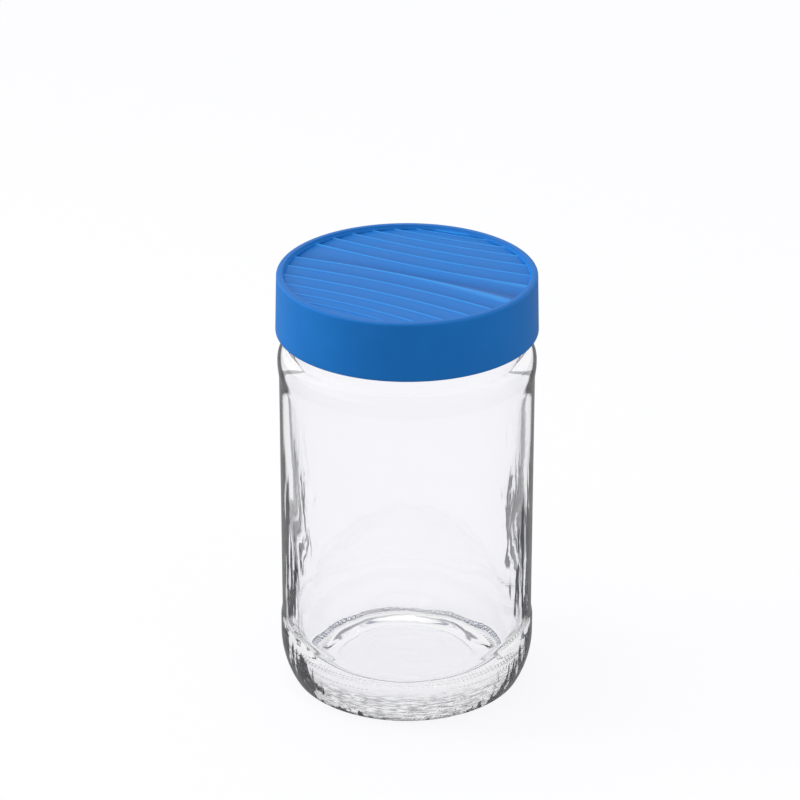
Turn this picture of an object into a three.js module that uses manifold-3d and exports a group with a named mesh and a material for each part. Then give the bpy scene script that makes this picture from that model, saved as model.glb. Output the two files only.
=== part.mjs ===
// Glass storage jar with a one-piece moulded screw lid and a sealing liner.
// Millimetres, +Z up. The jar stands on z = 0 and its axis is the Z axis.

import * as THREE from 'three';
import { mergeVertices } from 'three/addons/utils/BufferGeometryUtils.js';
import Module from 'manifold-3d';

const wasm = await Module();
wasm.setup();

// ---------- Driving dimensions ----------

const SEGMENTS = 48;            // facets round the axis, a multiple of four
const FULL_TURN = 2 * Math.PI;
const QUARTER_TURN = Math.PI / 2;

// Jar, outside
const GLASS_H = 141.5;          // sealing rim above the table
const BODY_R = 43.0;            // heel ring and shoulder ring
const PANEL_R = 42.5;           // straight wall between the two rings
const PUNT_H = 3.2;             // underside at the axis
const PUNT_EDGE_H = 1.1;        // underside beside the bearing ring
const BEARING_INNER_R = 34.6;   // flat ring the jar stands on
const HEEL_EDGE_R = 1.5;        // small radius between the bearing ring and the heel
const HEEL_R = 31;              // large radius of the heel
const HEEL_TOP_Z = 15.8;
const HEEL_RING_TOP_Z = 21;
const PANEL_BOTTOM_Z = 24.5;
const PANEL_TOP_Z = 110;
const SHOULDER_RING_Z = 115.6;
const SHOULDER_Z = 116.6;       // centre of the shoulder radius
const SHOULDER_R = 7.6;
const SHOULDER_SWEEP = THREE.MathUtils.degToRad(50);

// Jar, finish (the threaded mouth)
const NECK_Z = 124;
const FINISH_R = 39.8;
const BORE_R = 36.8;
const BEAD_R = 41.0;            // bead below the threads
const BEAD_Z = 129;
const BEAD_HALF_W = 1.2;
const RIM_OUTER_FILLET = 1.3;
const RIM_INNER_FILLET = 1.0;

// Jar, inside
const WALL_T = 2.6;
const INNER_R = PANEL_R - WALL_T;
const INNER_SHOULDER_LOW_Z = 112;
const INNER_HEEL_R = 18;
const FLOOR_EDGE_Z = 4.8;
const FLOOR_MID_Z = 6.9;

// Threads: the same lead on glass and lid, so that one slides along the other
const STARTS = 4;
const LEAD = 12;                // rise in one turn
const GLASS_THREAD_Z = 133.6;   // centre of a glass thread where it starts
const GLASS_THREAD_SPAN = THREE.MathUtils.degToRad(80);
const GLASS_THREAD_R = 41.1;
const GLASS_THREAD_ROOT_W = 1.6;
const GLASS_THREAD_CREST_W = 0.9;
const LID_THREAD_DROP = 1.27;   // lid thread below the glass thread that holds it
const LID_THREAD_DELAY = THREE.MathUtils.degToRad(10);
const LID_THREAD_SPAN = THREE.MathUtils.degToRad(60);
const LID_THREAD_R = 40.3;
const LID_THREAD_ROOT_W = 1.0;
const LID_THREAD_CREST_W = 0.5;
const THREAD_ROOT_BITE = 0.5;   // how far a thread's root runs into its wall
const THREAD_STEPS = 12;
const THREAD_FADE_STEPS = 2;
const THREAD_END_RISE = 0.3;    // of a step's fade, left standing at a thread's very end

// Sealing liner, with a clearance all round
const CLEARANCE = 0.3;
const LINER_T = 1.2;
const LINER_EDGE = 0.25;

// Lid
const LID_TOP_Z = 147.5;
const LID_H = 20.2;
const LID_TOP_R = 43.0;
const LID_BOTTOM_R = 43.5;      // the skirt's draft
const LID_BORE_R = 41.5;
const LID_EDGE_FILLET = 1.0;
const LID_HEM = 0.4;            // rounding of the skirt's lower edge
const RECESS_TOP_R = 40.7;      // inner edge of the raised rim
const RECESS_R = 40.2;
const LOUVRE_CREST_Z = LID_TOP_Z - 1.2;
const RECESS_FLOOR_Z = LOUVRE_CREST_Z - 1.45;

// Louvres on the lid's top: curved steps that fan out between two points on the rim.
// Angles are where a crest meets the rim, counter-clockwise from +X.
const LOUVRE_RIM_R = 39.8;
const LOUVRE_REACH_R = 41.0;    // crests run on into the rim
const LOUVRE_SLAB_Z = LOUVRE_CREST_Z - 2.2;
const LOUVRES_PER_SIDE = 6;
const LOUVRE_COLUMNS = 13;
const FAR_FAMILY = { left: 148.6, leftStep: -10.7, right: -25.2, rightStep: 12.4, sag: -0.026 };
const NEAR_FAMILY = { left: 157, leftStep: 11.1, right: -33, rightStep: -12.7, sag: 0.036 };
const LOUVRE_DEPTH = 1.1;       // step height beside the middle
const LOUVRE_DEPTH_FALL = 0.09; // less for each louvre towards the ends of the fan
const MIDDLE_DEPTH = 1.05;
const RISER_RUN = 0.25;         // width of a step's riser in plan
const MIDDLE_RISER_RUN = 5;     // the middle step softens to this at its right end

// ---------- Outline helpers ----------

const point = (r, z) => new THREE.Vector2(r, z);

// Points on an arc, angles measured from the outward radial direction towards +Z.
function arc(centreR, centreZ, radius, from, to, steps) {
  const points = [];
  for (let i = 0; i <= steps; i += 1) {
    const angle = from + (to - from) * i / steps;
    points.push(point(centreR + radius * Math.cos(angle), centreZ + radius * Math.sin(angle)));
  }
  return points;
}

// A soft S-shaped step from one radius to another while the outline climbs or falls.
function ease(fromR, fromZ, toR, toZ, steps) {
  const points = [];
  for (let i = 0; i <= steps; i += 1) {
    const t = i / steps;
    const share = t * t * (3 - 2 * t);
    points.push(point(fromR + (toR - fromR) * share, fromZ + (toZ - fromZ) * t));
  }
  return points;
}

// A shallow dome between the axis and an edge circle, drawn outwards.
function dome(middleZ, edgeR, edgeZ, steps) {
  const points = [];
  for (let i = 0; i <= steps; i += 1) {
    const t = i / steps;
    points.push(point(edgeR * t, middleZ + (edgeZ - middleZ) * t * t));
  }
  return points;
}

// Turns an outline round the Z axis.
function revolve(outline) {
  const geometry = new THREE.LatheGeometry(outline, SEGMENTS);
  geometry.rotateX(QUARTER_TURN);
  return geometry;
}

// ---------- Solids for joining and cutting ----------

function toSolid(geometry) {
  const bare = geometry.clone();
  bare.deleteAttribute('normal');
  bare.deleteAttribute('uv');
  const welded = mergeVertices(bare);
  const corners = welded.index.array;
  const kept = [];
  for (let i = 0; i < corners.length; i += 3) {
    const [a, b, c] = [corners[i], corners[i + 1], corners[i + 2]];
    if (a !== b && b !== c && c !== a) {
      kept.push(a, b, c);
    }
  }
  const vertProperties = new Float32Array(welded.attributes.position.array);
  const triVerts = new Uint32Array(kept);
  return new wasm.Manifold(new wasm.Mesh({ numProp: 3, vertProperties, triVerts }));
}

function toGeometry(solid) {
  const mesh = solid.getMesh();
  const geometry = new THREE.BufferGeometry();
  geometry.setAttribute('position', new THREE.BufferAttribute(mesh.vertProperties, 3));
  geometry.setIndex(new THREE.BufferAttribute(mesh.triVerts, 1));
  geometry.computeVertexNormals();
  return geometry;
}

function toIndexed(positions, corners) {
  const geometry = new THREE.BufferGeometry();
  geometry.setAttribute('position', new THREE.Float32BufferAttribute(positions, 3));
  geometry.setIndex(corners);
  return geometry;
}

// ---------- Threads ----------

// The four corners of a thread's section at one step, as radius and height,
// ordered so that the section runs the same way round on a glass or a lid thread.
function threadSection(thread, step) {
  const stepsFromEnd = Math.min(step, THREAD_STEPS - step);
  const fade = Math.min(1, (stepsFromEnd + THREAD_END_RISE) / THREAD_FADE_STEPS);
  const crestR = thread.wallR + (thread.crestR - thread.wallR) * fade;
  const outward = Math.sign(thread.crestR - thread.wallR);
  const rootR = thread.wallR - outward * THREAD_ROOT_BITE;
  const z = thread.z + LEAD * thread.span * step / THREAD_STEPS / FULL_TURN;
  const section = [
    [rootR, z - thread.rootW / 2],
    [crestR, z - thread.crestW / 2],
    [crestR, z + thread.crestW / 2],
    [rootR, z + thread.rootW / 2],
  ];
  return outward > 0 ? section : section.reverse();
}

function threadPositions(thread, startAngle) {
  const positions = [];
  for (let step = 0; step <= THREAD_STEPS; step += 1) {
    const angle = startAngle + thread.span * step / THREAD_STEPS;
    for (const [r, z] of threadSection(thread, step)) {
      positions.push(r * Math.cos(angle), r * Math.sin(angle), z);
    }
  }
  return positions;
}

function threadRidge(thread, startAngle) {
  const corners = [0, 1, 2, 0, 2, 3];
  for (let step = 0; step < THREAD_STEPS; step += 1) {
    for (let side = 0; side < 4; side += 1) {
      const here = step * 4 + side;
      const next = step * 4 + (side + 1) % 4;
      corners.push(here, here + 4, next + 4, here, next + 4, next);
    }
  }
  const last = THREAD_STEPS * 4;
  corners.push(last, last + 2, last + 1, last, last + 3, last + 2);
  return toSolid(toIndexed(threadPositions(thread, startAngle), corners));
}

function withThreads(body, thread) {
  let threaded = body;
  for (let start = 0; start < STARTS; start += 1) {
    threaded = threaded.add(threadRidge(thread, thread.delay + FULL_TURN * start / STARTS));
  }
  return threaded;
}

// ---------- Glass jar ----------

function heelOutline() {
  const sweep = Math.asin((HEEL_TOP_Z - HEEL_EDGE_R) / (HEEL_R - HEEL_EDGE_R));
  const heelCentreR = BODY_R - HEEL_R;
  const edgeCentreR = heelCentreR + (HEEL_R - HEEL_EDGE_R) * Math.cos(sweep);
  return [
    ...arc(edgeCentreR, HEEL_EDGE_R, HEEL_EDGE_R, -QUARTER_TURN, -sweep, 3),
    ...arc(heelCentreR, HEEL_TOP_Z, HEEL_R, -sweep, 0, 6).slice(1),
  ];
}

function finishOutline() {
  const outerCentreR = FINISH_R - RIM_OUTER_FILLET;
  const innerCentreR = BORE_R + RIM_INNER_FILLET;
  return [
    point(FINISH_R, NECK_Z),
    point(FINISH_R, BEAD_Z - 2 * BEAD_HALF_W),
    point(BEAD_R, BEAD_Z - BEAD_HALF_W / 2),
    point(BEAD_R, BEAD_Z + BEAD_HALF_W / 2),
    point(FINISH_R, BEAD_Z + 2 * BEAD_HALF_W),
    ...arc(outerCentreR, GLASS_H - RIM_OUTER_FILLET, RIM_OUTER_FILLET, 0, QUARTER_TURN, 3),
    ...arc(innerCentreR, GLASS_H - RIM_INNER_FILLET, RIM_INNER_FILLET, QUARTER_TURN, 2 * QUARTER_TURN, 3),
  ];
}

function insideOutline() {
  const heelCentreR = INNER_R - INNER_HEEL_R;
  const heelTopZ = FLOOR_EDGE_Z + INNER_HEEL_R;
  return [
    ...ease(BORE_R, NECK_Z + 1, INNER_R, INNER_SHOULDER_LOW_Z, 6),
    ...arc(heelCentreR, heelTopZ, INNER_HEEL_R, 0, -QUARTER_TURN, 8),
    ...dome(FLOOR_MID_Z, heelCentreR, FLOOR_EDGE_Z, 3).reverse().slice(1),
  ];
}

function jarOutline() {
  return [
    ...dome(PUNT_H, BEARING_INNER_R - PUNT_EDGE_H, PUNT_EDGE_H, 4),
    point(BEARING_INNER_R, 0),
    ...heelOutline(),
    ...ease(BODY_R, HEEL_RING_TOP_Z, PANEL_R, PANEL_BOTTOM_Z, 3),
    ...ease(PANEL_R, PANEL_TOP_Z, BODY_R, SHOULDER_RING_Z, 4),
    ...arc(BODY_R - SHOULDER_R, SHOULDER_Z, SHOULDER_R, 0, SHOULDER_SWEEP, 5),
    ...finishOutline(),
    ...insideOutline(),
  ];
}

const glassThread = {
  wallR: FINISH_R,
  crestR: GLASS_THREAD_R,
  rootW: GLASS_THREAD_ROOT_W,
  crestW: GLASS_THREAD_CREST_W,
  z: GLASS_THREAD_Z,
  span: GLASS_THREAD_SPAN,
  delay: 0,
};

function glassJar() {
  const body = toSolid(revolve(jarOutline()));
  return toGeometry(withThreads(body, glassThread));
}

// ---------- Sealing liner ----------

const LINER_BOTTOM_Z = GLASS_H + CLEARANCE;
const LINER_TOP_Z = LINER_BOTTOM_Z + LINER_T;
const LINER_R = LID_BORE_R - CLEARANCE;

function sealingLiner() {
  return revolve([
    point(0, LINER_BOTTOM_Z),
    point(LINER_R - LINER_EDGE, LINER_BOTTOM_Z),
    point(LINER_R, LINER_BOTTOM_Z + LINER_EDGE),
    point(LINER_R, LINER_TOP_Z - LINER_EDGE),
    point(LINER_R - LINER_EDGE, LINER_TOP_Z),
    point(0, LINER_TOP_Z),
  ]);
}

// ---------- Lid ----------

const LID_BOTTOM_Z = LID_TOP_Z - LID_H;
const PLATE_BOTTOM_Z = LINER_TOP_Z + CLEARANCE;

const lidThread = {
  wallR: LID_BORE_R,
  crestR: LID_THREAD_R,
  rootW: LID_THREAD_ROOT_W,
  crestW: LID_THREAD_CREST_W,
  z: GLASS_THREAD_Z - LID_THREAD_DROP + LEAD * LID_THREAD_DELAY / FULL_TURN,
  span: LID_THREAD_SPAN,
  delay: LID_THREAD_DELAY,
};

function lidShell() {
  return revolve([
    point(0, PLATE_BOTTOM_Z),
    point(LID_BORE_R, PLATE_BOTTOM_Z),
    point(LID_BORE_R, LID_BOTTOM_Z + LID_HEM),
    point(LID_BORE_R + LID_HEM, LID_BOTTOM_Z),
    point(LID_BOTTOM_R - LID_HEM, LID_BOTTOM_Z),
    point(LID_BOTTOM_R, LID_BOTTOM_Z + LID_HEM),
    ...arc(LID_TOP_R - LID_EDGE_FILLET, LID_TOP_Z - LID_EDGE_FILLET, LID_EDGE_FILLET, 0, QUARTER_TURN, 4),
    point(RECESS_TOP_R + LID_HEM, LID_TOP_Z),
    point(RECESS_TOP_R, LID_TOP_Z - LID_HEM),
    point(RECESS_R, RECESS_FLOOR_Z),
    point(0, RECESS_FLOOR_Z),
  ]);
}

// One crest as points from the left to the right, a shallow curve between its two rim angles.
// shift moves it towards +Y, and may change along the crest.
function crestLine(family, index, shift) {
  const left = THREE.MathUtils.degToRad(family.left + family.leftStep * index);
  const right = THREE.MathUtils.degToRad(family.right + family.rightStep * index);
  const span = left - right > Math.PI ? FULL_TURN - (left - right) : left - right;
  const from = point(Math.cos(left), Math.sin(left)).multiplyScalar(LOUVRE_RIM_R);
  const to = point(Math.cos(right), Math.sin(right)).multiplyScalar(LOUVRE_RIM_R);
  const middle = from.clone().add(to).multiplyScalar(0.5);
  const half = to.clone().sub(from).multiplyScalar(0.5);
  const away = point(-half.y, half.x).normalize();
  const chordDistance = LOUVRE_RIM_R * Math.cos(span / 2);
  const reach = Math.sqrt(LOUVRE_REACH_R ** 2 - chordDistance ** 2) / half.length();
  const bow = family.sag * 2 * half.length();
  const line = [];
  for (let column = 0; column < LOUVRE_COLUMNS; column += 1) {
    const u = reach * (2 * column / (LOUVRE_COLUMNS - 1) - 1);
    const offset = bow * (1 - u * u) + shift((1 + u) / 2);
    line.push(middle.clone().addScaledVector(half, u).addScaledVector(away, offset));
  }
  return line;
}

// A louvre's two rows: the foot of its riser, then its crest.
function louvreRows(family, index, depth, riserRun) {
  const rowAt = (shift, z) => crestLine(family, index, shift).map(({ x, y }) => [x, y, z]);
  return [rowAt(riserRun, LOUVRE_CREST_Z - depth), rowAt(() => 0, LOUVRE_CREST_Z)];
}

// The row that closes the fan outside its last louvre, moved out past the rim.
function closingRow(family, z) {
  const margin = 4;
  const side = Math.sign(family.rightStep);
  return crestLine(family, LOUVRES_PER_SIDE, () => side * margin).map(({ x, y }) => [x, y, z]);
}

function louvreGrid() {
  const steep = () => RISER_RUN;
  const softening = (t) => RISER_RUN + (MIDDLE_RISER_RUN - RISER_RUN) * Math.max(0, t);
  const rows = [closingRow(FAR_FAMILY, LOUVRE_CREST_Z)];
  for (let index = LOUVRES_PER_SIDE; index >= 1; index -= 1) {
    rows.push(...louvreRows(FAR_FAMILY, index, LOUVRE_DEPTH - LOUVRE_DEPTH_FALL * index, steep));
  }
  rows.push(...louvreRows(NEAR_FAMILY, 0, MIDDLE_DEPTH, softening));
  for (let index = 1; index <= LOUVRES_PER_SIDE; index += 1) {
    rows.push(...louvreRows(NEAR_FAMILY, index, LOUVRE_DEPTH - LOUVRE_DEPTH_FALL * index, steep));
  }
  rows.push(closingRow(NEAR_FAMILY, LOUVRE_CREST_Z - LOUVRE_DEPTH));
  return rows;
}

// A slab whose top is the louvres and whose underside lies inside the lid's plate.
function louvreSlab() {
  const rows = louvreGrid();
  const top = rows.flat();
  const under = top.map(([x, y]) => [x, y, LOUVRE_SLAB_Z]);
  const below = top.length;
  const corners = [];
  const quad = (a, b, c, d) => corners.push(a, b, c, a, c, d);
  for (let row = 0; row + 1 < rows.length; row += 1) {
    const first = row * LOUVRE_COLUMNS;
    const last = first + LOUVRE_COLUMNS - 1;
    for (let here = first; here < last; here += 1) {
      const next = here + LOUVRE_COLUMNS;
      quad(here, next, next + 1, here + 1);
      quad(below + here, below + here + 1, below + next + 1, below + next);
    }
    quad(first, below + first, below + first + LOUVRE_COLUMNS, first + LOUVRE_COLUMNS);
    quad(last, last + LOUVRE_COLUMNS, below + last + LOUVRE_COLUMNS, below + last);
  }
  const nearRow = (rows.length - 1) * LOUVRE_COLUMNS;
  for (let column = 0; column + 1 < LOUVRE_COLUMNS; column += 1) {
    const near = nearRow + column;
    quad(column, column + 1, below + column + 1, below + column);
    quad(near, below + near, below + near + 1, near + 1);
  }
  return toSolid(toIndexed([...top, ...under].flat(), corners));
}

function louvres() {
  const trim = revolve([
    point(0, LOUVRE_SLAB_Z - 1),
    point(RECESS_R + CLEARANCE, LOUVRE_SLAB_Z - 1),
    point(RECESS_R + CLEARANCE, LOUVRE_CREST_Z + 1),
    point(0, LOUVRE_CREST_Z + 1),
  ]);
  return louvreSlab().intersect(toSolid(trim));
}

function screwLid() {
  const body = toSolid(lidShell()).add(louvres());
  return toGeometry(withThreads(body, lidThread));
}

// ---------- Assembly ----------

const clearGlass = new THREE.MeshStandardMaterial({ color: 0xe9ebf2, roughness: 0.04, metalness: 0 });
const linerFoam = new THREE.MeshStandardMaterial({ color: 0xf1f0ea, roughness: 0.7, metalness: 0 });
const bluePlastic = new THREE.MeshStandardMaterial({ color: 0x3076c4, roughness: 0.42, metalness: 0 });

function named(name, geometry, material) {
  const mesh = new THREE.Mesh(geometry, material);
  mesh.name = name;
  return mesh;
}

const jar = new THREE.Group();
jar.add(named('glass_jar', glassJar(), clearGlass));
jar.add(named('sealing_liner', sealingLiner(), linerFoam));
jar.add(named('screw_lid', screwLid(), bluePlastic));

export default jar;
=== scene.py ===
# A glass storage jar with a blue screw lid and its sealing liner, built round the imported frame.
# Lengths are millimetres until a mesh is made; materials, lamps and the camera work in metres.
import math

import bpy
import numpy as np
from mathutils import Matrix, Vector


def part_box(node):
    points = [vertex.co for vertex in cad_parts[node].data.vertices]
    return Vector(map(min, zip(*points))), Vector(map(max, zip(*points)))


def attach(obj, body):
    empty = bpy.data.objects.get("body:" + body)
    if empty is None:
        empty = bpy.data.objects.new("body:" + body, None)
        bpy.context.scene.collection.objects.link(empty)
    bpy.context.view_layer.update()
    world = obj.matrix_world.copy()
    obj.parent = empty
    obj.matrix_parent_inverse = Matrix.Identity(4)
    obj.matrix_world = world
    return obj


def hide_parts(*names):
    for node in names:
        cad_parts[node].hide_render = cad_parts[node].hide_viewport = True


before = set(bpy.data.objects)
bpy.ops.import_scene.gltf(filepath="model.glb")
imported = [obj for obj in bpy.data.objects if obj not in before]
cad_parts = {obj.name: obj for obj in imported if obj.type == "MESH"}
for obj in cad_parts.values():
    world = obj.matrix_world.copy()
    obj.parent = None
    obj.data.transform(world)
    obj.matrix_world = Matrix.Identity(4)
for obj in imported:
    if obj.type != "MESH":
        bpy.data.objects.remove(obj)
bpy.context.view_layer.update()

MM = 0.001
TURN = 2 * math.pi
GLASS_BOUNCES = 32               # light turns many times inside the thick heel before it leaves

# ---------- Sizes read from the frame ----------

glass_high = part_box("glass_jar")[1] / MM
liner_low, liner_high = (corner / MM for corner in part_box("sealing_liner"))
lid_low, lid_high = (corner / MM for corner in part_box("screw_lid"))

BODY_R = glass_high.x
GLASS_TOP = glass_high.z
LINER_R = liner_high.x
LID_TOP = lid_high.z
LID_BOTTOM = lid_low.z
LID_BOTTOM_R = lid_high.x

# ---------- Jar ----------

JAR_COLUMNS = 384
RIB_COLUMNS = 3                  # columns to one rib under the heel
PANEL_R = BODY_R - 0.5
INNER_R = PANEL_R - 2.6
FINISH_R = BODY_R - 3.2
BORE_R = BODY_R - 6.2
BEAD_RISE = 1.2
BEAD_HALF_WIDTH = 1.2
BEAD_Z = 129
BEAD_END_Z = 131.5
HEEL_R = 31
HEEL_EDGE_R = 1.5
HEEL_TOP = 15.8
HEEL_RING_TOP = 21
PANEL_BOTTOM = 24.5
PANEL_TOP = 110
SHOULDER_RING_BOTTOM = 115.6
SHOULDER_Z = 116.6
SHOULDER_R = 7.6
SHOULDER_SWEEP = math.radians(50)
NECK_Z = 124
PUNT_H = 3.2
PUNT_EDGE = 1.1                  # height and width of the step beside the bearing ring
MOULD_STEPS = ((14, 0.45), (25, 0.3))        # radius and height of the shallow steps in the punt
RIB_DEPTH = 0.35
RIB_START_R, RIB_FULL_R = 31, 33             # the ribs under the jar rise here
RIB_FALL_R, RIB_END_R = 37.4, 38.4           # and fall away here
BEARING_INNER_R = 34.6
INNER_HEEL_R = 18
INNER_NECK_Z = 125               # the bore widens from here down to the shoulder
INNER_SHOULDER_Z = 112
FLOOR_Z = 4.8
FLOOR_MIDDLE_Z = 6.9
MOUTH_OUTER_R = 1.3
MOUTH_INNER_R = 1.0
WAVES_START_Z, WAVES_FULL_Z = 14, 24         # the inner wall's waves come in here
WAVES_FALL_Z, WAVES_END_Z = 112, 124         # and go out here
WAVE_MEAN = 0.15                 # the wavy wall is this much thicker on average
FLOOR_WAVE = 0.22

# ---------- Threads, the same helix on glass and lid ----------

STARTS = 4
LEAD = 12
GLASS_THREAD = {"z": 133.6, "delay": 0, "span": math.radians(80),
                "root": 2.2, "crest": 0.7, "rise": 1.3}
LID_DELAY = math.radians(5)
LID_THREAD_Z = 132.33 + LEAD * LID_DELAY / TURN
LID_THREAD = {"z": LID_THREAD_Z, "delay": LID_DELAY, "span": math.radians(70),
              "root": 1.6, "crest": 0.5, "rise": 1.2}
LID_THREAD_BAND = (131.2, 136.6)             # the heights where the skirt's inside is finely divided
THREAD_FADE = math.radians(7)

# ---------- Lid ----------

LID_TOP_R = LID_BOTTOM_R - 0.5
LID_BORE_R = LID_BOTTOM_R - 2.0
RECESS_R = 40.2
RIM_INNER_R = 40.7
CREST_Z = LID_TOP - 1.2
PLATE_UNDER = liner_high.z + 0.3
LOUVRES_PER_SIDE = 6
LOUVRE_COLUMNS = 49
LOUVRE_DEPTH = 1.1
LOUVRE_DEPTH_FALL = 0.09
MIDDLE_DEPTH = 1.05
MIDDLE_SOFTENING = 0.6           # how far the middle riser leans back at its right end, in louvres
RISER = 0.03                     # a steep riser's width, in louvres
LIP_WIDTH = 0.13                 # width of a crest's rounding, in louvres
LIP_DROP = 0.32                  # how far the rounding falls
LIP_SHARES = (0.25, 0.5, 0.75, 1.0)
SLOPE_SHARES = (0.04, 0.12, 0.22, 0.34, 0.46, 0.58, 0.7, 0.82, 0.92, 0.98)
SLOPE_POWER = 1.6                # above 1 a tread steepens towards its foot
MIDDLE_SHARES = (0, 0.12, 0.3, 0.5, 0.7, 0.88, 1.0)
MIDDLE_SINK = 0.02               # the middle crest stands this much below the others
MIDDLE_TREAD_SOFTNESS = 0.8      # how far the tread before the middle riser softens at its right end
NEXT_TREAD_SOFTNESS = 0.9        # and the one after it
SHOULDER_SHARE = 0.3             # where a riser's shoulder lies between its crest and its foot
SHOULDER_DROP = 0.12             # and how far below the crest
LAST_LOUVRE = 0.8                # the last treads end this far past the last crest, in louvres
FAN_END = 0.85                   # and the fan is closed here
FAR_END_TRIM = 0.6               # degrees taken off the closing line at the far end
NEAR_END_TRIM = 0.4
NEAR_END_DEPTH = 0.4             # of the last tread
NEAR_END_DROP = 0.45             # from a crest to the near closing line
SKIRT_TOP_Z = 140                # the skirt's threads stay below this


# ---------- Outline helpers ----------

def arc(centre_r, centre_z, radius, start, end, steps):
    """Points on an arc, angles from the outward radial direction towards +Z."""
    angles = np.linspace(start, end, steps + 1)
    return [(centre_r + radius * math.cos(a), centre_z + radius * math.sin(a)) for a in angles]


def ease(start, end, steps):
    """A soft S-shaped step between two (radius, height) points."""
    t = np.linspace(0, 1, steps + 1)
    share = t * t * (3 - 2 * t)
    radii = start[0] + (end[0] - start[0]) * share
    heights = start[1] + (end[1] - start[1]) * t
    return list(zip(radii, heights))


def line(start, end, steps):
    """Evenly spaced points on a straight stretch."""
    return [tuple(p) for p in np.linspace(start, end, steps + 1)]


def fade(value, start, full):
    """Goes evenly from 0 at start to 1 at full, and stays there."""
    return np.clip((value - start) / (full - start), 0, 1)


def without_repeats(outline):
    """Drops a point that repeats the one before it."""
    kept = [outline[0]]
    for p in outline[1:]:
        if math.dist(p, kept[-1]) > 1e-4:
            kept.append(p)
    return np.array(kept)


# ---------- Mesh helpers ----------

def make_mesh(name, points_mm, faces, material):
    mesh = bpy.data.meshes.new(name)
    mesh.from_pydata((np.asarray(points_mm) * MM).tolist(), [], faces)
    mesh.validate()
    mesh.shade_smooth()
    mesh.materials.append(material)
    piece = bpy.data.objects.new(name, mesh)
    bpy.context.scene.collection.objects.link(piece)
    return piece


def ring_faces(first, second):
    """Quads between two closed rings of vertex numbers."""
    after = np.roll(np.arange(len(first)), -1)
    return [(first[j], second[j], second[k], first[k]) for j, k in enumerate(after)]


def cap_faces(ring, centre, facing_first):
    """A fan between a ring and a vertex on the axis; the first ring's fan is wound the other way."""
    count = len(ring)
    fan = [(centre, ring[j], ring[(j + 1) % count]) for j in range(count)]
    return fan if facing_first else [face[::-1] for face in fan]


# ---------- Threads ----------

def thread_rise(thread, z, angle):
    """How far a thread stands out of its wall at a height and an angle."""
    rise = np.zeros(np.broadcast(z, angle).shape)
    half_root, half_crest = thread["root"] / 2, thread["crest"] / 2
    for start in range(STARTS):
        run = np.mod(angle - thread["delay"] - TURN * start / STARTS, TURN)
        off_centre = np.abs(z - thread["z"] - LEAD * run / TURN)
        flank = np.clip((half_root - off_centre) / (half_root - half_crest), 0, 1)
        ends = np.clip(np.minimum(run, thread["span"] - run) / THREAD_FADE, 0, 1)
        rise = np.maximum(rise, thread["rise"] * flank * ends)
    return rise


# ---------- Glass jar ----------

def jar_underside():
    """From the axis to the inner edge of the bearing ring: the punt, with two shallow mould steps."""
    edge_r = BEARING_INNER_R - PUNT_EDGE
    radii = np.concatenate([np.linspace(0, 30, 16), np.linspace(31, edge_r, 5)])
    heights = PUNT_H - (PUNT_H - PUNT_EDGE) * (radii / edge_r) ** 2
    for step_r, step_height in MOULD_STEPS:
        heights += step_height / (1 + np.exp((radii - step_r) * 2))
    return list(zip(radii, heights))


def jar_outside():
    """From the bearing ring round the heel, up the wall and over the shoulder ring."""
    sweep = math.asin((HEEL_TOP - HEEL_EDGE_R) / (HEEL_R - HEEL_EDGE_R))
    heel_centre = BODY_R - HEEL_R
    edge_centre = heel_centre + (HEEL_R - HEEL_EDGE_R) * math.cos(sweep)
    ring_step = ease((BEARING_INNER_R - PUNT_EDGE, PUNT_EDGE), (BEARING_INNER_R, 0.0), 3)
    return [
        *ring_step,
        *line((BEARING_INNER_R, 0.0), (edge_centre, 0.0), 6),
        *arc(edge_centre, HEEL_EDGE_R, HEEL_EDGE_R, -math.pi / 2, -sweep, 6),
        *arc(heel_centre, HEEL_TOP, HEEL_R, -sweep, 0, 16),
        *line((BODY_R, HEEL_TOP), (BODY_R, HEEL_RING_TOP), 3),
        *ease((BODY_R, HEEL_RING_TOP), (PANEL_R, PANEL_BOTTOM), 6),
        *line((PANEL_R, PANEL_BOTTOM), (PANEL_R, PANEL_TOP), 28),
        *ease((PANEL_R, PANEL_TOP), (BODY_R, SHOULDER_RING_BOTTOM), 8),
        *arc(BODY_R - SHOULDER_R, SHOULDER_Z, SHOULDER_R, 0, SHOULDER_SWEEP, 10),
    ]


def jar_finish():
    """The neck with its bead, the threaded wall and the rounded rim, up to the top of the bore."""
    outer, inner = MOUTH_OUTER_R, MOUTH_INNER_R
    bead = [
        (FINISH_R + BEAD_RISE * math.exp(-(((z - BEAD_Z) / BEAD_HALF_WIDTH) ** 4)), z)
        for z in np.linspace(NECK_Z, BEAD_END_Z, 18)
    ]
    return [
        *bead,
        *line((FINISH_R, BEAD_END_Z + 0.4), (FINISH_R, GLASS_TOP - outer), 22),
        *arc(FINISH_R - outer, GLASS_TOP - outer, outer, 0, math.pi / 2, 6),
        *arc(BORE_R + inner, GLASS_TOP - inner, inner, math.pi / 2, math.pi, 6),
    ]


def jar_inside():
    """From the mouth down the wall, round the bowl-like heel and over the low rise to the axis."""
    heel_centre = INNER_R - INNER_HEEL_R
    radii = np.linspace(heel_centre, 0, 14)
    rise = 0.5 + 0.5 * np.cos(math.pi * np.clip(radii / heel_centre, 0, 1))
    floor = list(zip(radii, FLOOR_Z + (FLOOR_MIDDLE_Z - FLOOR_Z) * rise))
    return [
        *line((BORE_R, GLASS_TOP - MOUTH_INNER_R), (BORE_R, INNER_NECK_Z), 5),
        *ease((BORE_R, INNER_NECK_Z), (INNER_R, INNER_SHOULDER_Z), 12),
        *line((INNER_R, INNER_SHOULDER_Z), (INNER_R, FLOOR_Z + INNER_HEEL_R), 34),
        *arc(heel_centre, FLOOR_Z + INNER_HEEL_R, INNER_HEEL_R, 0, -math.pi / 2, 22),
        *floor,
    ]


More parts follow.
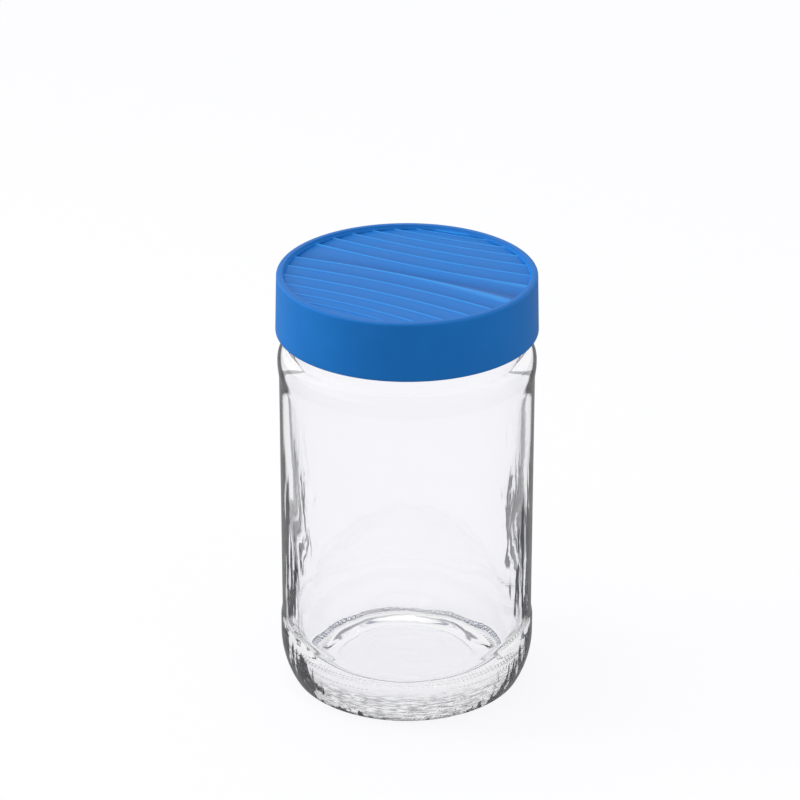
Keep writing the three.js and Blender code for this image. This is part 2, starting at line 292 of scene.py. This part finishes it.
def wall_waves(angle, z):
    """The slow unevenness of a glass wall that was blown against air, not against the mould."""
    low = fade(z, 105, 25)
    long_waves = 0.16 * np.sin(2 * angle + 0.4 + z / 60) + 0.10 * np.sin(3 * angle - 1.1 - z / 45)
    drips = 0.09 * np.sin(9 * angle + 1.3 * np.sin(z / 16)) * np.sin(z / 23 + 2 * angle)
    fine = 0.04 * np.sin(17 * angle + z / 7 + np.sin(z / 11))
    return (long_waves + drips + fine) * (0.35 + 0.65 * low)


def jar_points():
    """Radius, height and angle of every point of the jar, a row for each point of its outline."""
    underside, outside, finish, inside = jar_underside(), jar_outside(), jar_finish(), jar_inside()
    outline = without_repeats([*underside, *outside, *finish, *inside])
    top_row = int(np.argmax(outline[:, 1]))
    angle = np.arange(JAR_COLUMNS) * TURN / JAR_COLUMNS
    r = np.repeat(outline[:, :1], JAR_COLUMNS, axis=1)
    z = np.repeat(outline[:, 1:], JAR_COLUMNS, axis=1)
    angles = np.repeat(angle[None, :], len(outline), axis=0)
    is_outside = (np.arange(len(outline)) <= top_row)[:, None]

    r += np.where(is_outside & (z > NECK_Z + 1), thread_rise(GLASS_THREAD, z, angles), 0)

    share = fade(z, WAVES_START_Z, WAVES_FULL_Z) * fade(z, WAVES_END_Z, WAVES_FALL_Z)
    r -= np.where(~is_outside, (wall_waves(angles, z) + WAVE_MEAN) * share, 0)
    on_floor = np.where(~is_outside & (z < 20), fade(r, 36, 0), 0)
    z += on_floor * FLOOR_WAVE * np.sin(3 * angles + r / 6) * fade(r, 0, 8)

    rib = 0.5 - 0.5 * np.cos(TURN * (np.arange(JAR_COLUMNS) % RIB_COLUMNS) / RIB_COLUMNS)
    rib_band = fade(r, RIB_START_R, RIB_FULL_R) * fade(r, RIB_END_R, RIB_FALL_R)
    z += np.where(is_outside & (z < 4), RIB_DEPTH * rib * rib_band, 0)
    return r, z, angles


def build_jar(material):
    r, z, angles = jar_points()
    r, z, angles = r[::-1], z[::-1], angles[::-1]
    rows, columns = r.shape
    grid = np.stack([r * np.cos(angles), r * np.sin(angles), z], axis=-1)[1:-1]
    points = [*grid.reshape(-1, 3), (0, 0, z[0].mean()), (0, 0, z[-1].mean())]
    rings = np.arange((rows - 2) * columns).reshape(rows - 2, columns)
    faces = cap_faces(rings[0], len(points) - 2, True)
    for first, second in zip(rings, rings[1:]):
        faces += ring_faces(first, second)
    faces += cap_faces(rings[-1], len(points) - 1, False)
    return make_mesh("jar_glass", points, faces, material)


# ---------- Lid ----------

FAR = {"left": 148.6, "left_step": -10.7, "right": -25.2, "right_step": 12.4, "sag": -0.026}
NEAR = {"left": 157.0, "left_step": 11.1, "right": -33.0, "right_step": -12.7, "sag": 0.036}


def louvre_at(family, left_index, right_index=None):
    """Where a line of the fan meets the recess wall on the left and the right, and how it bows."""
    right_index = left_index if right_index is None else right_index
    left = family["left"] + family["left_step"] * left_index
    right = family["right"] + family["right_step"] * right_index
    return left, right, family["sag"]


def louvre_line(place, heights):
    """A bowed line across the recess from left to right."""
    left, right, sag = place
    start = RECESS_R * np.array([math.cos(math.radians(left)), math.sin(math.radians(left))])
    end = RECESS_R * np.array([math.cos(math.radians(right)), math.sin(math.radians(right))])
    half = (end - start) / 2
    across = np.array([-half[1], half[0]])
    u = np.linspace(-1, 1, LOUVRE_COLUMNS)
    plan = (start + end) / 2 + u[:, None] * half + (sag * 2 * (1 - u * u))[:, None] * across
    return np.column_stack([plan, heights])


def rim_arc(left, right, height):
    """A line that follows the recess wall itself, to close the fan."""
    angles = np.radians(np.linspace(left, right, LOUVRE_COLUMNS))
    return np.column_stack([RECESS_R * np.cos(angles), RECESS_R * np.sin(angles),
                            np.full(LOUVRE_COLUMNS, height)])


def tread_rows(crest, foot, depth, softness):
    """Lines down a louvre: the rounded lip of its crest, then the slope, steeper towards the foot."""
    rows = []
    u = np.linspace(0, 1, LOUVRE_COLUMNS)
    drop = LIP_DROP * (1 - softness * u)
    for t in LIP_SHARES:
        place = tuple(a + (b - a) * t * LIP_WIDTH for a, b in zip(crest, foot))
        rows.append((place, CREST_Z - drop * t ** 2))
    for t in SLOPE_SHARES:
        place = tuple(a + (b - a) * (LIP_WIDTH + (1 - LIP_WIDTH) * t) for a, b in zip(crest, foot))
        smooth = t * t * (3 - 2 * t)
        steep = t ** SLOPE_POWER
        share = steep + (smooth - steep) * softness * u
        rows.append((place, CREST_Z - drop - (depth - drop) * share))
    return rows


def riser_rows(family, index, direction, depth):
    """A steep riser: its foot, its shoulder and its crest."""
    flat = np.ones(LOUVRE_COLUMNS)
    foot = louvre_at(family, index + direction * RISER)
    shoulder = louvre_at(family, index + direction * RISER * SHOULDER_SHARE)
    crest = louvre_at(family, index)
    return foot, [
        (foot, flat * (CREST_Z - depth)),
        (shoulder, flat * (CREST_Z - SHOULDER_DROP)),
        (crest, flat * CREST_Z),
    ], crest


def middle_riser_rows(depth):
    """The middle louvre's riser, sharp at the left and softened to a round ridge at the right."""
    rows = []
    for t in MIDDLE_SHARES:
        place = louvre_at(NEAR, -RISER * (1 - t), -(RISER + MIDDLE_SOFTENING) * (1 - t))
        share = t * t * (3 - 2 * t)
        rows.append((place, np.full(LOUVRE_COLUMNS, CREST_Z - depth * (1 - share) - MIDDLE_SINK)))
    return rows


def louvre_depth(index):
    """The louvres get shallower away from the middle one."""
    return LOUVRE_DEPTH - LOUVRE_DEPTH_FALL * index


def louvre_rows():
    """Every line of the lid's top, from the far side of the recess to the near side."""
    lines = []
    left, right, _ = louvre_at(FAR, LOUVRES_PER_SIDE + FAN_END)
    lines.append(rim_arc(left - FAR_END_TRIM, right + FAR_END_TRIM, CREST_Z))
    above = louvre_at(FAR, LOUVRES_PER_SIDE + LAST_LOUVRE)
    places = []
    for index in range(LOUVRES_PER_SIDE, 0, -1):
        depth = louvre_depth(index)
        foot, riser, crest = riser_rows(FAR, index, 1, depth)
        places += tread_rows(above, foot, depth, 0)
        places += riser
        above = crest
    middle = middle_riser_rows(MIDDLE_DEPTH)
    places += tread_rows(above, middle[0][0], MIDDLE_DEPTH, MIDDLE_TREAD_SOFTNESS)
    places += middle
    above = middle[-1][0]
    for index in range(1, LOUVRES_PER_SIDE + 1):
        depth = louvre_depth(index)
        foot, riser, crest = riser_rows(NEAR, index, -1, depth)
        places += tread_rows(above, foot, depth, NEXT_TREAD_SOFTNESS if index == 1 else 0)
        places += riser
        above = crest
    last_foot = louvre_at(NEAR, LOUVRES_PER_SIDE + LAST_LOUVRE)
    places += tread_rows(above, last_foot, NEAR_END_DEPTH, 0)
    lines += [louvre_line(place, heights) for place, heights in places]
    left, right, _ = louvre_at(NEAR, LOUVRES_PER_SIDE + FAN_END)
    right += 360
    lines.append(rim_arc(left + NEAR_END_TRIM, right - NEAR_END_TRIM, CREST_Z - NEAR_END_DROP))
    return np.array(lines)


def lid_outline():
    """From the top of the recess wall over the rim, down the skirt and up inside to the axis."""
    inner, outer, hem = 0.45, 1.0, 0.4
    band_low, band_high = LID_THREAD_BAND
    return without_repeats([
        (RECESS_R + 0.08, CREST_Z + 0.15),
        *arc(RIM_INNER_R + inner, LID_TOP - inner, inner, math.pi, math.pi / 2, 6),
        *arc(LID_TOP_R - outer, LID_TOP - outer, outer, math.pi / 2, 0, 8),
        *line((LID_TOP_R, LID_TOP - outer), (LID_BOTTOM_R, LID_BOTTOM + hem), 12),
        *arc(LID_BOTTOM_R - hem, LID_BOTTOM + hem, hem, 0, -math.pi / 2, 4),
        *arc(LID_BORE_R + hem, LID_BOTTOM + hem, hem, -math.pi / 2, -math.pi, 4),
        *line((LID_BORE_R, LID_BOTTOM + hem), (LID_BORE_R, band_low), 4),
        *line((LID_BORE_R, band_low), (LID_BORE_R, band_high), 14),
        *line((LID_BORE_R, band_high), (LID_BORE_R, PLATE_UNDER), 4),
        *line((LID_BORE_R, PLATE_UNDER), (4, PLATE_UNDER), 8),
    ])


def build_lid(material):
    lines = louvre_rows()
    row_count = len(lines)
    numbers = np.arange(row_count * LOUVRE_COLUMNS).reshape(row_count, LOUVRE_COLUMNS)
    faces = []
    for row in range(row_count - 1):
        for column in range(LOUVRE_COLUMNS - 1):
            faces.append((numbers[row, column], numbers[row + 1, column],
                          numbers[row + 1, column + 1], numbers[row, column + 1]))
    edge = np.concatenate([numbers[0, ::-1], numbers[1:-1, 0], numbers[-1], numbers[-2:0:-1, -1]])
    points = lines.reshape(-1, 3)
    edge_angles = np.arctan2(points[edge, 1], points[edge, 0])

    outline = lid_outline()
    r = np.repeat(outline[:, :1], len(edge), axis=1)
    z = np.repeat(outline[:, 1:], len(edge), axis=1)
    angles = np.repeat(edge_angles[None, :], len(outline), axis=0)
    inside_skirt = (np.abs(r - LID_BORE_R) < 1e-6) & (z < SKIRT_TOP_Z)
    r = r - np.where(inside_skirt, thread_rise(LID_THREAD, z, angles), 0)
    shell = np.stack([r * np.cos(angles), r * np.sin(angles), z], axis=-1).reshape(-1, 3)

    rings = len(points) + np.arange(len(shell)).reshape(len(outline), len(edge))
    all_points = [*points, *shell, (0, 0, PLATE_UNDER)]
    faces += ring_faces(edge, rings[0])
    for first, second in zip(rings, rings[1:]):
        faces += ring_faces(first, second)
    faces += cap_faces(rings[-1], len(all_points) - 1, False)
    piece = make_mesh("lid_shell", all_points, faces, material)
    piece.data.set_sharp_from_angle(angle=math.radians(38))
    return piece


# ---------- Liner ----------

GROOVE_R = 38.3
GROOVE_HALF_WIDTH = 0.9
GROOVE_DEPTH = 0.16


def build_liner(material):
    """The disc, with the shallow groove that the glass rim has pressed into its underside."""
    bottom, top = liner_low.z, liner_high.z
    columns, edge = 192, 0.25
    groove = [
        (r, bottom + GROOVE_DEPTH * math.exp(-(((r - GROOVE_R) / GROOVE_HALF_WIDTH) ** 4)))
        for r in np.linspace(36.4, 40.2, 13)
    ]
    outline = without_repeats([
        *line((3, top), (LINER_R - edge, top), 10),
        *arc(LINER_R - edge, top - edge, edge, math.pi / 2, 0, 3),
        *arc(LINER_R - edge, bottom + edge, edge, 0, -math.pi / 2, 3),
        *groove[::-1],
        *line((36, bottom), (3, bottom), 10),
    ])
    angle = np.arange(columns) * TURN / columns
    grid = np.stack([outline[:, :1] * np.cos(angle), outline[:, :1] * np.sin(angle),
                     np.repeat(outline[:, 1:], columns, axis=1)], axis=-1)
    points = [*grid.reshape(-1, 3), (0, 0, top), (0, 0, bottom)]
    rings = np.arange(grid.shape[0] * columns).reshape(-1, columns)
    faces = cap_faces(rings[0], len(points) - 2, True)
    for first, second in zip(rings, rings[1:]):
        faces += ring_faces(first, second)
    faces += cap_faces(rings[-1], len(points) - 1, False)
    return make_mesh("liner_disc", points, faces, material)


# ---------- Materials, with heights and radii in metres ----------

# painted shade: these bands and terms set where the glass is darkened where it is seen edge-on
WALL_SHADE_RISE, WALL_SHADE_FALL = (0.022, 0.034), (0.050, 0.098)      # the wall's band of stronger painted edge shade
HEEL_FALL = (0.015, 0.024)
HEEL_CONE = 0.16                 # the heel with painted shade is what lies outside a cone of this slope
HEEL_OUTSIDE = (0.0374, 0.0380)
SHOULDER_RISE, SHOULDER_FALL = (0.107, 0.112), (0.119, 0.124)
FOOT_FALL = (0.0085, 0.0150)
EDGE_START = 0.75                # the angle term at which painted shade begins to darken a wall
EDGE_WIDTH = 0.07
EDGE_LOWERED = {"wall_shade_band": 0.15, "heel": 0.17, "shoulder": 0.10}
EDGE_UNEVEN = 0.17
# painted shade: the near-black colour laid on the glass where it is seen edge-on
EDGE_SHADE_COLOUR = (0.008, 0.008, 0.009, 1)
# painted shade: the grey of the rings at the foot
FOOT_SHADE_GREY = (0.20, 0.20, 0.215, 1)

LID_RECESS = (0.0401, 0.0404)    # the recess ends between these radii
LID_UPPER = (0.1440, 0.1445)
# painted shade: the louvre feet darken below the crests between these heights
LOUVRE_SHADE_FALL = (0.1448, 0.1462)
# painted shade: the rim top darkens between these heights
RIM_SHADE = (0.1468, 0.1474)
# painted highlight: the crests pale between these heights
CREST_HIGHLIGHT_RISE = (0.14610, 0.14634)
# painted shade colour
SHADE_BLUE = (0.003, 0.078, 0.300, 1)
# painted highlight colour for the crests
HIGHLIGHT_BLUE = (0.016, 0.255, 0.700, 1)


class Nodes:
    """Adds and joins shader nodes with little writing."""

    def __init__(self, owner):
        owner.use_nodes = True
        self.tree = owner.node_tree
        self.tree.nodes.clear()

    def add(self, kind, inputs=None, **settings):
        node = self.tree.nodes.new(kind)
        for key, value in settings.items():
            setattr(node, key, value)
        for key, value in (inputs or {}).items():
            socket = node.inputs[key]
            if isinstance(value, bpy.types.NodeSocket):
                self.tree.links.new(value, socket)
            else:
                socket.default_value = value
        return node

    def noise(self, scale, detail=2.0, roughness=0.5, vector=None):
        vector = vector or self.add("ShaderNodeTexCoord").outputs["Object"]
        values = {"Vector": vector, "Scale": scale, "Detail": detail, "Roughness": roughness}
        return self.add("ShaderNodeTexNoise", values).outputs["Fac"]

    def spread(self, value, low, high, from_low=0.3, from_high=0.7):
        """Goes softly from low to high as the value goes from from_low to from_high."""
        values = {"Value": value, "From Min": from_low, "From Max": from_high,
                  "To Min": low, "To Max": high}
        return self.add("ShaderNodeMapRange", values, interpolation_type="SMOOTHSTEP").outputs["Result"]

    def maths(self, operation, first, second):
        return self.add("ShaderNodeMath", {0: first, 1: second}, operation=operation).outputs[0]

    def product(self, first, second):
        return self.maths("MULTIPLY", first, second)

    def scaled(self, vector, scale):
        """A position with each of its axes stretched."""
        node = self.add("ShaderNodeVectorMath", {0: vector, 1: scale}, operation="MULTIPLY")
        return node.outputs[0]

    def from_axis(self, position):
        """Distance from the Z axis."""
        flat = self.scaled(position, (1, 1, 0))
        return self.add("ShaderNodeVectorMath", {0: flat}, operation="LENGTH").outputs["Value"]

    def mix(self, kind, sockets, values):
        node = self.add("ShaderNodeMix", data_type=kind)
        for number, value in zip(sockets, values):
            if isinstance(value, bpy.types.NodeSocket):
                self.tree.links.new(value, node.inputs[number])
            else:
                node.inputs[number].default_value = value
        return node

    def level(self, factor, first, second):
        """A number that goes from first to second as the factor goes from 0 to 1."""
        return self.mix("FLOAT", (0, 2, 3), (factor, first, second)).outputs[0]

    def blend(self, factor, first, second):
        """A colour that goes from first to second as the factor goes from 0 to 1."""
        return self.mix("RGBA", (0, 6, 7), (factor, first, second)).outputs[2]

    def bump(self, height, strength, distance):
        values = {"Height": height, "Strength": strength, "Distance": distance}
        return self.add("ShaderNodeBump", values).outputs["Normal"]


def glass_material():
    """Clear flint glass, with painted shade darkening it where the eye runs along the wall and painted grey
    rings at the foot.
    """
    material = bpy.data.materials.new("clear_glass")
    n = Nodes(material)
    patches = n.noise(35, 4, 0.6)
    clear = n.blend(n.spread(patches, 0, 1), (0.968, 0.968, 0.985, 1), (0.982, 0.982, 0.992, 1))

    place = n.add("ShaderNodeTexCoord").outputs["Object"]
    height = n.add("ShaderNodeSeparateXYZ", {0: place}).outputs["Z"]
    wall_shade_band = n.product(n.spread(height, 0, 1, *WALL_SHADE_RISE), n.spread(height, 1, 0, *WALL_SHADE_FALL))
    outside = n.maths("SUBTRACT", n.from_axis(place), n.product(height, HEEL_CONE))
    heel = n.product(n.spread(height, 1, 0, *HEEL_FALL), n.spread(outside, 0, 1, *HEEL_OUTSIDE))
    shoulder = n.product(n.spread(height, 0, 1, *SHOULDER_RISE), n.spread(height, 1, 0, *SHOULDER_FALL))

    # painted shade: noise streaks make the edge darkening uneven in the wall band and at the heel
    shade_streaks = n.spread(n.noise(360, 3, 0.6, n.scaled(place, (1, 1, 0.12))), -1, 1, 0.34, 0.66)
    start = EDGE_START
    for zone, lowered in ((wall_shade_band, "wall_shade_band"), (heel, "heel"), (shoulder, "shoulder")):
        start = n.maths("SUBTRACT", start, n.product(zone, EDGE_LOWERED[lowered]))
    uneven_shade = n.product(n.maths("MAXIMUM", wall_shade_band, heel), n.product(shade_streaks, EDGE_UNEVEN))
    start = n.maths("ADD", start, uneven_shade)
    # painted shade: the glass colour goes towards near-black where the wall is seen edge-on, standing in for
    # dark surroundings seen in it
    facing = n.add("ShaderNodeLayerWeight", {"Blend": 0.5}).outputs["Facing"]
    leaving = n.add("ShaderNodeNewGeometry").outputs["Backfacing"]
    darkened = n.spread(facing, 0, 1, start, n.maths("ADD", start, EDGE_WIDTH))
    edge = n.level(leaving, darkened, 0.0)

    # painted shade: grey rings darken the glass at the foot of the heel, standing in for shade seen through
    # the thick glass
    rings = n.spread(n.noise(2200, 2, 0.6, n.scaled(place, (0.12, 0.12, 1))), 0.1, 1, 0.40, 0.60)
    foot = n.product(n.spread(height, 1, 0, *FOOT_FALL), heel)
    foot = n.product(foot, n.level(leaving, rings, 0.0))
    body = n.blend(foot, clear, FOOT_SHADE_GREY)

    ripple = n.noise(140, 2)
    shader = n.add("ShaderNodeBsdfPrincipled", {
        "Base Color": n.blend(edge, body, EDGE_SHADE_COLOUR),
        "Roughness": n.spread(patches, 0.0, 0.015),
        "IOR": 1.52,
        "Transmission Weight": 1.0,
        "Normal": n.bump(ripple, 0.06, 0.0004),
    })
    n.add("ShaderNodeOutputMaterial", {"Surface": shader.outputs["BSDF"]})
    return material


def lid_material():
    """Satin moulded polypropylene: even blue and fine grain, with painted shade darkening the louvre feet,
    hollows and rim top, and a painted highlight paling the crests.
    """
    material = bpy.data.materials.new("blue_plastic")
    n = Nodes(material)
    cloud = n.noise(60, 3, 0.55)
    base = n.blend(n.spread(cloud, 0, 1), (0.004, 0.172, 0.575, 1), (0.005, 0.187, 0.610, 1))

    place = n.add("ShaderNodeTexCoord").outputs["Object"]
    height = n.add("ShaderNodeSeparateXYZ", {0: place}).outputs["Z"]
    upper = n.spread(height, 0, 1, *LID_UPPER)
    on_top = n.product(n.spread(n.from_axis(place), 1, 0, *LID_RECESS), upper)
    # painted shade: ambient occlusion darkens the hollows of the recess
    open_sky = n.add("ShaderNodeAmbientOcclusion", {"Distance": 0.003}, samples=8).outputs["AO"]
    hollow_shade = n.product(n.spread(open_sky, 0.9, 0, 0.30, 0.85), upper)
    # painted shade: darker towards the louvre feet and on the rim top
    painted_shade = n.product(on_top, n.spread(height, 0.95, 0.25, *LOUVRE_SHADE_FALL))
    painted_shade = n.maths("MAXIMUM", painted_shade, n.spread(height, 0, 0.45, *RIM_SHADE))
    painted_shade = n.maths("MAXIMUM", painted_shade, hollow_shade)
    # painted highlight: a paler blue laid along the louvre crests
    crest_highlight = n.product(on_top, n.spread(height, 0, 1, *CREST_HIGHLIGHT_RISE))
    base = n.blend(painted_shade, base, SHADE_BLUE)
    base = n.blend(crest_highlight, base, HIGHLIGHT_BLUE)

    grain = n.noise(2600, 3, 0.6)
    shader = n.add("ShaderNodeBsdfPrincipled", {
        "Base Color": base,
        "Roughness": n.spread(cloud, 0.40, 0.52),
        "IOR": 1.49,
        "Specular IOR Level": 0.30,
        "Normal": n.bump(grain, 0.18, 0.00008),
    })
    n.add("ShaderNodeOutputMaterial", {"Surface": shader.outputs["BSDF"]})
    return material


def liner_material():
    """Off-white polyethylene foam with a fine closed-cell grain."""
    material = bpy.data.materials.new("liner_foam")
    n = Nodes(material)
    cells = n.noise(1500, 2, 0.5)
    tone = n.blend(n.spread(n.noise(90, 3), 0, 1), (0.80, 0.79, 0.75, 1), (0.88, 0.87, 0.84, 1))
    shader = n.add("ShaderNodeBsdfPrincipled", {
        "Base Color": tone,
        "Roughness": n.spread(cells, 0.6, 0.8),
        "Normal": n.bump(cells, 0.4, 0.0001),
    })
    n.add("ShaderNodeOutputMaterial", {"Surface": shader.outputs["BSDF"]})
    return material


# ---------- Studio ----------

def floor_material():
    """A white light table, dimmer as a lamp or in a mirror than to the eye; clear from underneath."""
    material = bpy.data.materials.new("pale_floor")
    n = Nodes(material)
    tone = n.blend(n.noise(3, 2), (0.90, 0.90, 0.905, 1), (0.93, 0.93, 0.935, 1))
    paint = n.add("ShaderNodeBsdfDiffuse", {"Color": tone})
    path = n.add("ShaderNodeLightPath")
    strength = 1.0
    for ray, level in (("Is Diffuse Ray", 0.58), ("Is Reflection Ray", 0.25)):
        strength = n.level(path.outputs[ray], strength, level)
    glow = n.add("ShaderNodeEmission", {"Color": (0.985, 0.985, 1, 1), "Strength": strength})
    mixed = n.add("ShaderNodeMixShader", {0: 0.90, 1: paint.outputs[0], 2: glow.outputs[0]})
    below = n.add("ShaderNodeNewGeometry").outputs["Backfacing"]
    clear = n.add("ShaderNodeBsdfTransparent")
    surface = n.add("ShaderNodeMixShader", {0: below, 1: mixed.outputs[0], 2: clear.outputs[0]})
    n.add("ShaderNodeOutputMaterial", {"Surface": surface.outputs[0]})
    return material


def build_floor():
    half, level = 4.0, -0.0003
    mesh = bpy.data.meshes.new("floor")
    corners = [(-half, -half, level), (half, -half, level), (half, half, level), (-half, half, level)]
    mesh.from_pydata(corners, [], [(0, 1, 2, 3)])
    mesh.materials.append(floor_material())
    floor = bpy.data.objects.new("floor", mesh)
    bpy.context.scene.collection.objects.link(floor)


def build_world():
    """A pale room, dim in front, that looks plain white, and through the glass greyer at the sides."""
    world = bpy.data.worlds.new("studio")
    bpy.context.scene.world = world
    n = Nodes(world)
    direction = n.add("ShaderNodeTexCoord").outputs["Generated"]

    def lobe(towards, edge, full, amount):
        toward = n.add("ShaderNodeVectorMath", {0: direction, 1: Vector(towards).normalized()},
                       operation="DOT_PRODUCT").outputs["Value"]
        return n.spread(toward, 0, amount, edge, full)

    def total(parts):
        light = parts[0]
        for part in parts[1:]:
            light = n.maths("ADD", light, part)
        return light

    room = total([0.44, lobe((-1, 0.0, 0.1), 0.30, 0.95, 0.55), lobe((1, 0, 0.1), 0.45, 0.95, 0.10),
                  lobe((0, 1, 0.3), 0.20, 0.80, 0.30), lobe((0, 0, 1), 0.3, 0.95, 0.25)])
    behind, above = lobe((0, 1, 0.2), 0.35, 0.70, 0.97), lobe((0, 0, 1), 0.25, 0.55, 0.97)
    sweep = n.maths("MAXIMUM", n.maths("MAXIMUM", behind, above), 0.45)
    path = n.add("ShaderNodeLightPath")
    light = n.level(path.outputs["Is Transmission Ray"], room, sweep)
    light = n.level(path.outputs["Is Camera Ray"], light, 1.0)
    sky = n.add("ShaderNodeBackground", {"Color": (1, 1, 1, 1), "Strength": light})
    n.add("ShaderNodeOutputWorld", {"Surface": sky.outputs[0]})


def softbox(name, position, target, size, watts, mirrored):
    data = bpy.data.lights.new(name, "AREA")
    data.shape = "RECTANGLE"
    data.size, data.size_y = size
    data.energy = watts
    lamp = bpy.data.objects.new(name, data)
    bpy.context.scene.collection.objects.link(lamp)
    lamp.location = position
    aim = Vector(target) - Vector(position)
    lamp.rotation_euler = aim.to_track_quat("-Z", "Y").to_euler()
    lamp.visible_camera = False
    lamp.visible_transmission = False
    lamp.visible_glossy = mirrored


def build_lights():
    middle = (0, 0, 0.12)
    softbox("top_softbox", (-0.15, 0.05, 1.0), middle, (0.5, 0.4), 2.6, True)
    softbox("left_softbox", (-1.1, 0.1, 0.45), middle, (0.4, 0.6), 6, False)
    softbox("right_softbox", (0.9, -0.8, 0.4), middle, (0.4, 0.6), 2.6, False)
    softbox("inner_glow", (0, 0, 0.045), middle, (0.05, 0.05), 0.11, False)


def build_camera():
    """Looks down on the jar from the front, a touch to the left."""
    pitch = math.radians(24.84)
    distance, focus_height, side = 1.1763, 0.1010, -0.00233
    frame_width = 0.8 / 3        # of the picture, in metres at the jar's axis
    data = bpy.data.cameras.new("camera")
    data.lens = distance / frame_width * data.sensor_width
    camera = bpy.data.objects.new("camera", data)
    bpy.context.scene.collection.objects.link(camera)
    camera.location = (side, -distance * math.cos(pitch), focus_height + distance * math.sin(pitch))
    camera.rotation_euler = (math.pi / 2 - pitch, 0, 0)
    bpy.context.scene.camera = camera


# ---------- Assembly ----------

def build_object():
    jar = build_jar(glass_material())
    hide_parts("glass_jar")
    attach(jar, "jar")

    liner = build_liner(liner_material())
    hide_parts("sealing_liner")
    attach(liner, "seal")

    lid = build_lid(lid_material())
    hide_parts("screw_lid")
    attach(lid, "lid")


build_camera()
build_object()
build_floor()
build_world()
build_lights()

scene = bpy.context.scene
scene.view_settings.view_transform = "Standard"
scene.cycles.max_bounces = GLASS_BOUNCES
scene.cycles.glossy_bounces = GLASS_BOUNCES
scene.cycles.transmission_bounces = GLASS_BOUNCES
